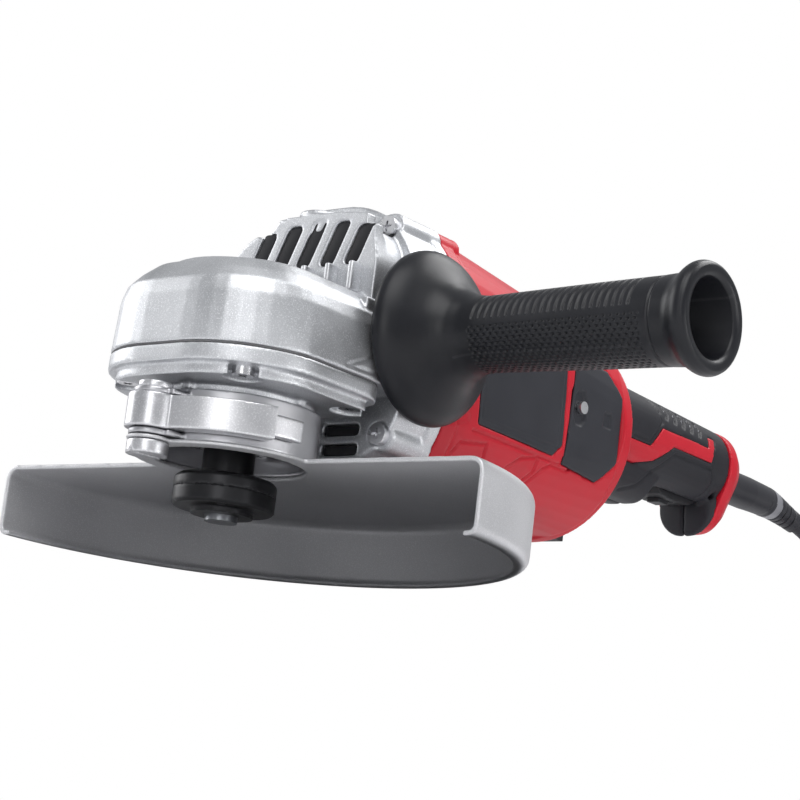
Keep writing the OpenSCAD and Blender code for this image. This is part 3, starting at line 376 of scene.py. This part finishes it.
NODE_SLOTS = {
    "cast_housing": "gear_housing bearing_cover",
    "gasket_fibre": "cover_gasket",
    "zinc_screws": "cover_screws housing_screws retainer_screws brush_cover_screws handle_screws",
    "pressed_steel": "bearing_retainer guard_band",
    "bright_steel": "lower_spindle_bearing front_motor_bearing rear_motor_bearing spindle armature_shaft "
                    "side_handle_stud spindle_lock_spring latch_spring trigger_spring brush_springs",
    "bronze": "upper_spindle_bush brush_holders",
    "gear_steel": "crown_gear pinion",
    "blackened_steel": "inner_flange lock_nut",
    "guard_steel": "guard_shell",
    "lever_alloy": "clamp_lever lever_pivot",
    "handle_rubber": "side_handle_grip",
    "black_plastic": "fan air_baffle switch_block spindle_lock_button swivel_latch trigger lock_off_slider",
    "laminations": "armature_core stator_core",
    "copper": "armature_windings stator_windings commutator",
    "carbon": "carbon_brushes",
    "red_plastic": "motor_housing left_handle_trim right_handle_trim handle_end_cap",
    "panel_plastic": "left_label_panel right_label_panel left_brush_cover right_brush_cover",
    "grip_rubber": "left_handle_shell right_handle_shell",
    "cord_rubber": "strain_relief mains_cord cord_coil cord_tie plug_body",
    "pin_brass": "plug_pins",
}
SLOT_OF = {node: slot for slot, names in NODE_SLOTS.items() for node in names.split()}
BODIES = frame["record"]["behaviour"]["bodies"]
BODY_OF = {node: body for body, members in BODIES.items() for node in members}


def finish_nodes():
    """Every CAD node gets its finish. The spindle is darker than the other ground parts."""
    for name, node in NODES.items():
        node.data.materials.clear()
        node.data.materials.append(FINISHES["gear_steel" if name == "spindle" else SLOT_OF[name]])


# ---------------------------------------------------------------- pieces

def place(piece, like, *also, finish=None, hide=True):
    """The piece rides and is finished as the CAD node like, and stands for that node and the others named.

    hide=False is for a piece that is added to a node and leaves it in sight.
    """
    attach(piece, BODY_OF[like])
    slot = finish or SLOT_OF[like]
    if not piece.data.materials:
        piece.data.materials.append(FINISHES[slot])
    if hide:
        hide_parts(like, *also)
    return piece


def new_piece(name, points, faces):
    mesh = bpy.data.meshes.new(name)
    mesh.from_pydata([tuple(p) for p in points], [], [tuple(f) for f in faces])
    mesh.update()
    piece = bpy.data.objects.new(name, mesh)
    bpy.context.scene.collection.objects.link(piece)
    mesh.polygons.foreach_set("use_smooth", [True] * len(mesh.polygons))
    return piece


def settle(piece):
    """Applies the piece's modifiers to its mesh."""
    bpy.context.view_layer.update()
    graph = bpy.context.evaluated_depsgraph_get()
    done = bpy.data.meshes.new_from_object(piece.evaluated_get(graph))
    old = piece.data
    piece.modifiers.clear()
    piece.data = done
    bpy.data.meshes.remove(old)
    piece.data.name = piece.name
    return piece


def each_vertex(piece, what):
    flat = np.empty(len(piece.data.vertices) * 3)
    piece.data.vertices.foreach_get(what, flat)
    return flat.reshape(-1, 3)


def points_of(piece):
    return each_vertex(piece, "co")


def normals_of(piece):
    return each_vertex(piece, "normal")


def set_points(piece, points):
    piece.data.vertices.foreach_set("co", points.astype(np.float64).ravel())
    piece.data.update()


def moulded(name, node, voxel, rounds):
    """A CAD node's skin with its edges and corners rounded, as a moulding or casting has them."""
    shapes = bmesh.new()
    shapes.from_mesh(NODES[node].data)
    bmesh.ops.remove_doubles(shapes, verts=shapes.verts, dist=1e-6)
    mesh = bpy.data.meshes.new(name)
    shapes.to_mesh(mesh)
    shapes.free()
    mesh.materials.clear()
    piece = bpy.data.objects.new(name, mesh)
    bpy.context.scene.collection.objects.link(piece)
    skin = piece.modifiers.new("skin", "REMESH")
    skin.mode = "VOXEL"
    skin.voxel_size = voxel
    skin.use_smooth_shade = True
    soften = piece.modifiers.new("soften", "SMOOTH")
    soften.factor = 0.5
    soften.iterations = rounds
    settle(piece)
    piece.data.materials.clear()
    return place(piece, node)


def away_from_path(flat, path):
    """Distance of each point of an (n, 2) array from a line through the path's points, all in millimetres."""
    best = np.full(len(flat), 1e9)
    for start, end in zip(path[:-1], path[1:]):
        start, end = np.array(start, float), np.array(end, float)
        along = end - start
        share = np.clip((flat - start) @ along / (along @ along + 1e-12), 0, 1)
        gap = np.linalg.norm(flat - start - share[:, None] * along, axis=1)
        best = np.minimum(best, gap)
    return best


def inside(flat, outline):
    """True where a point of an (n, 2) array lies within the closed outline."""
    within = np.zeros(len(flat), bool)
    for (x0, z0), (x1, z1) in zip(outline, outline[1:] + outline[:1]):
        if z0 == z1:
            continue
        crosses = (z0 > flat[:, 1]) != (z1 > flat[:, 1])
        at = x0 + (flat[:, 1] - z0) * (x1 - x0) / (z1 - z0)
        within ^= crosses & (flat[:, 0] < at)
    return within


GROOVE_SLOPE, FIELD_SLOPE = 0.6, 0.8
ALONG_AND_UP = (0, 2)  # outlines on the tool's sides are drawn along the motor and up


def press(piece, where, paths=(), fields=(), width=1.0, depth=0.8):
    """Sinks grooves along paths, and flat fields within outlines, into the skin that passes the test.

    The paths and outlines are seen from the side, and all sizes are in millimetres.
    """
    points, normals = points_of(piece), normals_of(piece)
    mm = points / MM
    flat = mm[:, ALONG_AND_UP]
    chosen = where(mm, normals)
    sink = np.zeros(len(points))
    for path in paths:
        gap = away_from_path(flat, path)
        sink = np.maximum(sink, depth * np.clip((width + GROOVE_SLOPE - gap) / GROOVE_SLOPE, 0, 1))
    for outline in fields:
        gap = away_from_path(flat, outline + outline[:1])
        edge = np.where(inside(flat, outline), gap, -gap)
        sink = np.maximum(sink, depth * np.clip(edge / FIELD_SLOPE + 0.5, 0, 1))
    sink = np.where(chosen, sink, 0)
    set_points(piece, points - normals * (sink * MM)[:, None])


# ---------------------------------------------------------------- mains cord

CORD_D = 9.0
CORD_ROUTE = [(450, -2.6, 91.8), (458, -6, 87.6), (466, -10, 81.5), (474, -15, 73),
              (480.5, -21, 63), (486, -27, 52), (491, -33, 42), (495.5, -40, 34),
              (499.5, -49, 28.5), (502.6, -58, 24), (504, -66.5, 20)]
COIL_CENTRE = (545, -75)
COIL_RADII = (41, 50, 59)
COIL_HEIGHTS = (17.5, 8.5, -0.5)
TURN_POINTS = 18
TURN_CHANGES_AT = 0.86
CORD_TAIL = [(488.5, -106, -0.5), (489.5, -117, -0.3), (491, -128, 0.3), (493.5, -139, 2), (497, -149.5, 4.5),
             (502.5, -159, 7.5), (511, -167, 10.5), (523.5, -172, 12)]


def cord_points():
    """Down from the boot, round the coil from its top layer to its bottom one, and out to the plug."""
    points = list(CORD_ROUTE)
    turns = [(radius, height) for layer, height in enumerate(COIL_HEIGHTS)
             for radius in (COIL_RADII[::-1] if layer % 2 else COIL_RADII)]
    for turn, (radius, height) in enumerate(turns):
        following = turns[min(turn + 1, len(turns) - 1)]
        for step in range(TURN_POINTS):
            share = step / TURN_POINTS
            ease = min(max((share - TURN_CHANGES_AT) / (1 - TURN_CHANGES_AT), 0), 1)
            ease = ease * ease * (3 - 2 * ease)
            r = radius + (following[0] - radius) * ease
            z = height + (following[1] - height) * ease
            angle = math.pi + 2 * math.pi * share
            points.append((COIL_CENTRE[0] + r * math.cos(angle), COIL_CENTRE[1] + r * math.sin(angle), z))
    points.append((COIL_CENTRE[0] - COIL_RADII[-1], COIL_CENTRE[1], COIL_HEIGHTS[-1]))
    points.append((COIL_CENTRE[0] - 58.2, COIL_CENTRE[1] - 16, COIL_HEIGHTS[-1]))
    return points + CORD_TAIL


def make_cord():
    curve = bpy.data.curves.new("lead", "CURVE")
    curve.dimensions = "3D"
    curve.bevel_depth = CORD_D / 2 * MM
    curve.bevel_resolution = 5
    curve.resolution_u = 6
    curve.use_fill_caps = True
    spline = curve.splines.new("BEZIER")
    points = cord_points()
    spline.bezier_points.add(len(points) - 1)
    for spot, at in zip(spline.bezier_points, points):
        spot.co = Vector(at) * MM
        spot.handle_left_type = spot.handle_right_type = "AUTO"
    curve.materials.append(FINISHES["cord_rubber"])
    lead = bpy.data.objects.new("lead", curve)
    bpy.context.scene.collection.objects.link(lead)
    place(lead, "mains_cord", "cord_coil")


# ---------------------------------------------------------------- side handle

HANDLE_X, HANDLE_Y, HANDLE_Z = 55.0, -52.0, 89.0
HANDLE_LENGTH = 140.5
# distance out from the gear head, and radius there: bell, waist, grip, end ring
HANDLE_OUTLINE = [(0, 37.0), (2, 37.4), (5, 36.6), (9, 33.2), (12.5, 28.2), (16.5, 23.2), (21.5, 19.2),
                  (28, 16.7), (34, 15.9), (60, 16.6), (90, 17.4), (120.5, 18.0), (129.0, 18.5),
                  (132.2, 20.6), (134.5, 22.4), (136.5, 22.75), (138.5, 22.7), (140.0, 21.6), (140.5, 20.4)]
BELL_FACE = ((7.2, 6.5), (14, 6.5), (18, 3.5), (34.2, 0.1))
END_HOLLOW = ((18.6, 140.5), (16.7, 139.8), (16, 138.6), (16, 95.5), (0.3, 95.5))
GRIP_START, GROOVES_END, PITS_END = 33, 112.5, 117
GROOVE_PITCH, GROOVE_DEPTH, GROOVE_HALF = 3.5, 0.95, 0.62
PIT_STEP, PIT_LINES, PIT_DEPTH, PIT_ACROSS, PIT_ALONG = 3.3, 54, 0.9, 0.62, 0.85
END_LINE_AT, END_LINE_DEPTH, END_LINE_HALF = 121, 0.6, 0.7


def handle_radius(out):
    """Radius of the side handle's outline at a distance out along it, with its corners eased."""
    ease = min(1.8, 0.6 * out, 0.9 * (HANDLE_LENGTH - out))
    near = out + np.linspace(-1, 1, 9) * ease
    return float(np.mean(np.interp(near, [o for o, _ in HANDLE_OUTLINE], [r for _, r in HANDLE_OUTLINE])))


def ring_bands(rows, columns):
    """Faces between each ring of points and the next."""
    faces = []
    for i in range(rows - 1):
        for j in range(columns):
            k = (j + 1) % columns
            faces.append((i * columns + j, i * columns + k, (i + 1) * columns + k, (i + 1) * columns + j))
    return faces


def side_grip():
    """A lathed grip: a bell at the gear head, grooves on top, rows of small pits below, and an open end."""
    columns, step = 324, 0.4
    outs = list(np.arange(0, HANDLE_LENGTH, step)) + [HANDLE_LENGTH]
    angles = np.arange(columns) * 2 * math.pi / columns
    rows = []

    def row(out, radii):
        rows.append(np.stack([HANDLE_X + radii * np.cos(angles), np.full(columns, HANDLE_Y - out),
                              HANDLE_Z + radii * np.sin(angles)], 1))

    top = np.sin(angles)
    for radius, out in BELL_FACE:
        row(out, np.full(columns, radius))
    for out in outs:
        base = handle_radius(out)
        radii = np.full(columns, base)
        if GRIP_START < out < GROOVES_END:
            near = (out - GRIP_START - 1.5) % GROOVE_PITCH
            near = min(near, GROOVE_PITCH - near)
            radii -= GROOVE_DEPTH * max(0.0, 1 - (near / GROOVE_HALF) ** 2) * np.clip((top - 0.12) / 0.06, 0, 1)
        if GRIP_START < out < PITS_END:
            lines = angles / (2 * math.pi) * PIT_LINES
            across = (lines % 1 - 0.5) * 2 * math.pi * base / PIT_LINES
            along = out / PIT_STEP - 0.5 * (np.floor(lines) % 2)
            along = (along - np.round(along)) * PIT_STEP
            pit = np.clip(1 - (across / PIT_ACROSS) ** 2 - (along / PIT_ALONG) ** 2, 0, 1)
            radii -= PIT_DEPTH * np.sqrt(pit) * (top < -0.04)
        radii -= END_LINE_DEPTH * max(0.0, 1 - (abs(out - END_LINE_AT) / END_LINE_HALF) ** 2)
        row(out, radii)
    for radius, out in END_HOLLOW:
        row(out, np.full(columns, radius))
    grip = new_piece("side_grip", np.concatenate(rows) * MM, ring_bands(len(rows), columns))
    place(grip, "side_handle_grip")


# ---------------------------------------------------------------- gear head and motor

def rounded_box(name, low, high, radius, like, finish):
    """A block with rounded edges between two corners, in millimetres."""
    shapes = bmesh.new()
    low, high = Vector(low), Vector(high)
    bmesh.ops.create_cube(shapes, size=1.0)
    bmesh.ops.scale(shapes, vec=high - low, verts=shapes.verts)
    bmesh.ops.bevel(shapes, geom=list(shapes.edges), offset=radius, segments=3, profile=0.5, affect="EDGES")
    bmesh.ops.translate(shapes, verts=shapes.verts, vec=(low + high) / 2)
    bmesh.ops.scale(shapes, vec=(MM, MM, MM), verts=shapes.verts)
    mesh = bpy.data.meshes.new(name)
    shapes.to_mesh(mesh)
    shapes.free()
    mesh.polygons.foreach_set("use_smooth", [True] * len(mesh.polygons))
    piece = bpy.data.objects.new(name, mesh)
    bpy.context.scene.collection.objects.link(piece)
    return place(piece, like, finish=finish, hide=False)


def side_skin(sign, least=0.35):
    """A test that picks the skin that faces the tool's right side (-1) or left side (1)."""
    return lambda mm, normals: normals[:, 1] * sign > least


SLOT_FOOT, SLOT_LEAN = 116.5, 0.42
SLOT_PITCH, SLOT_HALF = 13.5, 4.2


def lean(piece):
    """The upper vent slots lean to one side from their feet up, within the flat front of the vent box."""
    points = points_of(piece)
    x, y, z = (points / MM).T
    here = np.clip((37 - x) / 4, 0, 1) * np.clip((41 - np.abs(y)) / 9, 0, 1)
    here = here * np.clip((141 - z) / 3, 0, 1)
    points[:, 1] -= SLOT_LEAN * np.maximum(z - SLOT_FOOT, 0) * here * MM
    set_points(piece, points)


def gear_head():
    """The cast head, with the two lines of a shallow leaf on each side."""
    head = moulded("gear_head", "gear_housing", 0.0008, 5)
    lean(head)
    for sign in (-1, 1):
        press(head, side_skin(sign, 0.3), width=0.35, depth=0.5, paths=[
            [(8, 66), (20, 71), (34, 76), (50, 80)],
            [(8, 66), (22, 66.5), (44, 66)]])


def vents():
    """Black blocks that paint the shade inside the upper slots, ribs below them, and black blocks that paint
    the shade of two slots on each side low down.
    """
    for index in range(-2, 3):
        y = index * SLOT_PITCH
        half = 10.7 - abs(index)
        middle = 127 - abs(index)
        # painted shade: a black block just behind each upper slot's mouth stands for the shade inside the slot
        painted_shade = rounded_box(f"vent_painted_shade_{index + 2}", (28.7, y - SLOT_HALF, middle - half),
                            (33.6, y + SLOT_HALF, middle + half), 1.2, "gear_housing", "black_plastic")
        lean(painted_shade)
    for index, y in enumerate((-33, -20, -6.5, 6.5, 20, 33)):
        rounded_box(f"vent_rib_{index}", (22, y - 1.3, 103.2), (29, y + 1.3, 115.8), 0.9,
                    "gear_housing", "cast_housing")
    for side, y in (("r", -18), ("l", 18)):
        for level in (40.5, 49):
            # painted shade: each black block stands for the shade inside a low slot
            rounded_box(f"low_vent_{side}_{int(level)}", (47.5, y - 9.5, level - 2.2),
                        (50.5, y + 9.5, level + 2.2), 0.8, "gear_housing", "black_plastic")


def motor_shell():
    """The red housing, with fine lines on both sides and one that runs round behind the gear head."""
    shell = moulded("motor_shell", "motor_housing", 0.00075, 4)
    for sign in (-1, 1):
        skin = side_skin(sign, 0.05)
        press(shell, skin, width=0.25, depth=0.9, paths=[
            [(86, 44), (90, 53), (108, 56), (110, 48)],
            [(128, 50), (135, 56), (147, 59), (147, 52), (140, 44), (128, 41)],
            [(128, 37), (143, 42), (153, 55), (158, 58), (171, 58), (182, 68), (190, 76)],
            [(96, 59.5), (164, 59.5)]])
        press(shell, skin, depth=0.5, fields=[[(78, 58), (92, 62), (92, 66), (78, 64)]])
    press(shell, lambda mm, normals: np.abs(normals[:, 0]) < 0.7, width=0.4, depth=0.5,
          paths=[[(84.5, 20), (84.5, 160)]])


def side_panels():
    """Blank label panels with a fine frame, and brush covers with a recess round their screw."""
    for side, sign in (("right", -1), ("left", 1)):
        label = moulded(f"{side}_panel", f"{side}_label_panel", 0.0007, 3)
        cover = moulded(f"{side}_cover", f"{side}_brush_cover", 0.0007, 3)
        press(cover, side_skin(sign), depth=1.1, fields=[[(193, 84), (199, 84), (199, 91), (193, 91)]])
        press(cover, side_skin(sign), depth=1.4, fields=[
            [(168.5, 83), (171, 80), (175, 80), (177.5, 83), (177.5, 93), (175, 96), (171, 96), (168.5, 93)]])
        press(label, side_skin(sign), width=0.3, depth=0.3,
              paths=[[(101, 66), (160, 66), (160, 106), (101, 106), (101, 66)]])


# ---------------------------------------------------------------- rear handle and boot

LOUVRES = [(287, 114.2), (295, 113.8), (303, 113.4), (311, 113.0), (319, 112.6)]
SWIVEL_Z = 0.098


def crescent(x, z):
    """Outline of one louvre in the rear handle's side."""
    return [(x - 2.4, z - 3.6), (x - 0.3, z - 3.8), (x + 1.9, z),
            (x + 0.5, z + 3.6), (x - 1.8, z + 3.8), (x + 0.1, z)]


def handle_grips():
    """Soft shells with sunk lines and pale louvres, red trims between them, the end rim and the trigger."""
    for side, sign in (("right", -1), ("left", 1)):
        shell = moulded(f"{side}_grip", f"{side}_handle_shell", 0.0009, 4)
        skin = side_skin(sign, -0.1)
        press(shell, skin, width=0.45, depth=0.8, paths=[
            [(262, 70), (272, 74), (281, 81), (289, 89), (295, 94.5),
             (331, 94.5), (336, 88), (335, 80), (329, 70)],
            [(256, 96), (271, 96), (281, 108), (280, 113), (274, 121)]])
        for x, z in LOUVRES:
            press(shell, skin, depth=1.5, fields=[crescent(x, z)])
        shell.data.materials.append(FINISHES["boot_band"])
        for face in shell.data.polygons:
            at = face.center / MM
            if face.normal.y * sign > 0.1 and 280 < at.x < 325 and 108 < at.z < 119:
                flat = np.array([[at.x, at.z]])
                if any(inside(flat, crescent(x - 0.4, z))[0] for x, z in LOUVRES):
                    face.material_index = 1
        moulded(f"{side}_trim", f"{side}_handle_trim", 0.0007, 2)
    # the rim's outside is drawn in a little, flush with the grip, and its socket for the boot stays
    rim = moulded("end_rim", "handle_end_cap", 0.0008, 3)
    points = points_of(rim)
    outer = np.hypot(points[:, 1], points[:, 2] - SWIVEL_Z) > 0.0150
    middle = (points[:, 2].max() + points[:, 2].min()) / 2
    points[outer, 1] *= 0.945
    points[outer, 2] = middle + (points[outer, 2] - middle) * 0.955
    set_points(rim, points)
    moulded("finger_lever", "trigger", 0.0006, 3)


def swept(name, centres, radii, columns=40):
    """A round skin whose middle line and radius follow the lists, in mm, closed at both ends."""
    centres = [Vector(c) for c in centres]
    points, side = [], Vector((0, 1, 0))
    for i, (centre, radius) in enumerate(zip(centres, radii)):
        ahead = (centres[min(i + 1, len(centres) - 1)] - centres[max(i - 1, 0)]).normalized()
        side = (side - ahead * side.dot(ahead)).normalized()
        up = ahead.cross(side)
        for j in range(columns):
            a = 2 * math.pi * j / columns
            points.append((centre + (side * math.cos(a) + up * math.sin(a)) * radius) * MM)
    first_ring = range(columns)
    last_ring = range((len(centres) - 1) * columns, len(centres) * columns)
    faces = ring_bands(len(centres), columns) + [tuple(first_ring), tuple(reversed(last_ring))]
    return new_piece(name, points, faces)


BOOT_ROUTE = [(348, 0, 98), (353.5, 0, 98), (354, 0, 98), (362, 0, 98), (400, 0, 98), (406, 0, 98),
              (412, 0, 98), (418, 0, 97.9), (424, 0, 97.6), (430, 0, 97), (436, 0, 96),
              (441.5, -0.5, 94.8), (446.5, -1.5, 93.2), (451, -3, 91.4)]
BOOT_RADII = [12.2, 12.2, 9.2, 9.2, 9.2, 8.95, 8.75, 8.6, 8.2, 7.6, 7.1, 6.6, 6.1, 5.8]
BOOT_WAIST = (364, 421)
BOOT_RINGS = (430, 449)
RING_PITCH, RING_GAP = 5.0, 1.6
PALE_BAND = (0.4225, 0.4295)


def cord_boot():
    """Strain relief with shallow rings, and one smooth lighter ring round it."""
    route, radii = np.array(BOOT_ROUTE, float), np.array(BOOT_RADII)
    reach = np.concatenate([[0], np.cumsum(np.linalg.norm(np.diff(route, axis=0), axis=1))])
    spots = np.unique(np.concatenate([np.arange(0, reach[-1], 0.7), reach]))
    middle = [tuple(np.interp(s, reach, route[:, k]) for k in range(3)) for s in spots]
    sizes = []
    for s, spot in zip(spots, middle):
        size = float(np.interp(s, reach, radii))
        x = spot[0]
        if BOOT_WAIST[0] < x < BOOT_WAIST[1]:
            size -= 0.25
        if BOOT_RINGS[0] < x < BOOT_RINGS[1] and (x - BOOT_RINGS[0]) % RING_PITCH < RING_GAP:
            size -= 0.55
        sizes.append(size)
    boot = swept("cord_boot", middle, sizes)
    place(boot, "strain_relief")
    boot.data.materials.append(FINISHES["boot_band"])
    for face in boot.data.polygons:
        if PALE_BAND[0] < face.center.x < PALE_BAND[1] and len(face.vertices) == 4:
            face.material_index = 1


def castings():
    """The other cast, turned and pressed pieces, each with its edges eased."""
    moulded("cover_casting", "bearing_cover", 0.0008, 3)
    moulded("clamp_arm", "clamp_lever", 0.0005, 3)
    moulded("guard_hood", "guard_shell", 0.0007, 2)
    moulded("clamp_ring", "guard_band", 0.0006, 1)
    moulded("lever_bolt", "lever_pivot", 0.0005, 1)
    moulded("disc_nut", "lock_nut", 0.0005, 1)
    moulded("disc_flange", "inner_flange", 0.0006, 1)
    moulded("lock_pin_button", "spindle_lock_button", 0.0005, 2)


make_camera()
make_studio()
make_floor()
finish_nodes()
make_cord()
side_grip()
gear_head()
vents()
motor_shell()
side_panels()
handle_grips()
cord_boot()
castings()
